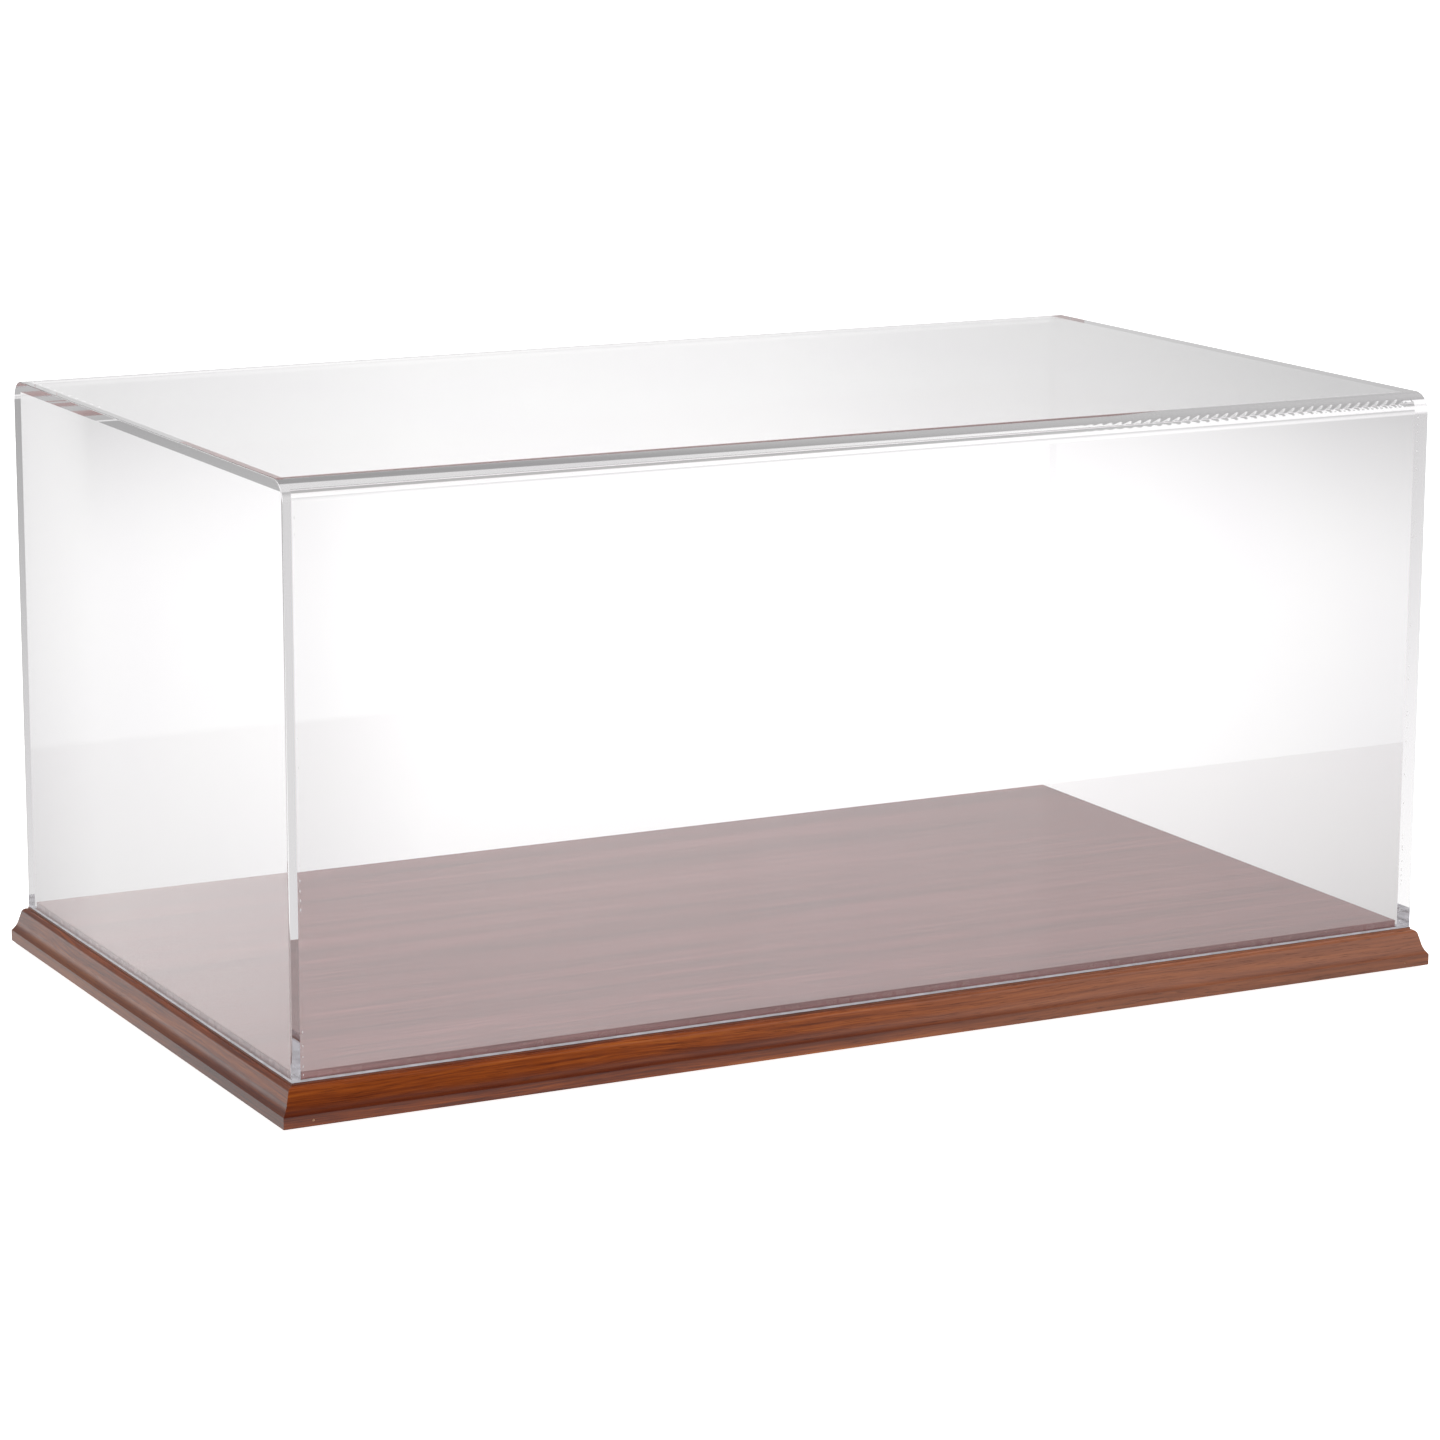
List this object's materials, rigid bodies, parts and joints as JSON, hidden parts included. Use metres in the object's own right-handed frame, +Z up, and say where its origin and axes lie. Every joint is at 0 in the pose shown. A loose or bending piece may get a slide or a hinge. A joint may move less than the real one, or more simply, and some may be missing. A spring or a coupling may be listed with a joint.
{
  "type": "acrylic display case",
  "caption": "Long rectangular clear acrylic display cover that lifts off an ogee-moulded wooden base with a raised veneered deck.",
  "frame": {"origin": "middle of the footprint, on the plane the felt pads stand on", "axes": "+X to the right along the long side, +Y towards the back, +Z up out of the cover's top"},
  "size_m": [0.52, 0.307, 0.2441],
  "materials": {
    "acrylic": "clear, polished",
    "cement": "clear with small bubbles",
    "moulding_wood": "satin lacquer, reddish brown",
    "deck_veneer": "satin lacquer, fine straight grain",
    "deck_backer": "plain sanded",
    "fibreboard": "raw sanded board",
    "steel": "yellow zinc plated",
    "wax": "soft coloured wax",
    "felt": "dense wool felt"
  },
  "bodies": {
    "base": {"front_moulding": "moulding_wood", "back_moulding": "moulding_wood", "left_moulding": "moulding_wood", "right_moulding": "moulding_wood", "deck_core": "fibreboard", "deck_backer": "deck_backer", "deck_veneer": "deck_veneer", "front_edge_band": "deck_veneer", "back_edge_band": "deck_veneer", "left_edge_band": "deck_veneer", "right_edge_band": "deck_veneer", "deck_screws": "steel", "corner_brads": "steel", "brad_filler": "wax", "felt_pads": "felt"},
    "cover": {"cover_wrap": "acrylic", "left_end_panel": "acrylic", "right_end_panel": "acrylic", "left_seam_cement": "cement", "right_seam_cement": "cement"}
  },
  "joints": [
    {"name": "cover_lift", "type": "slide", "parent": "base", "child": "cover", "axis": [0, 0, 1], "range_m": [0, 0.25]}
  ]
}
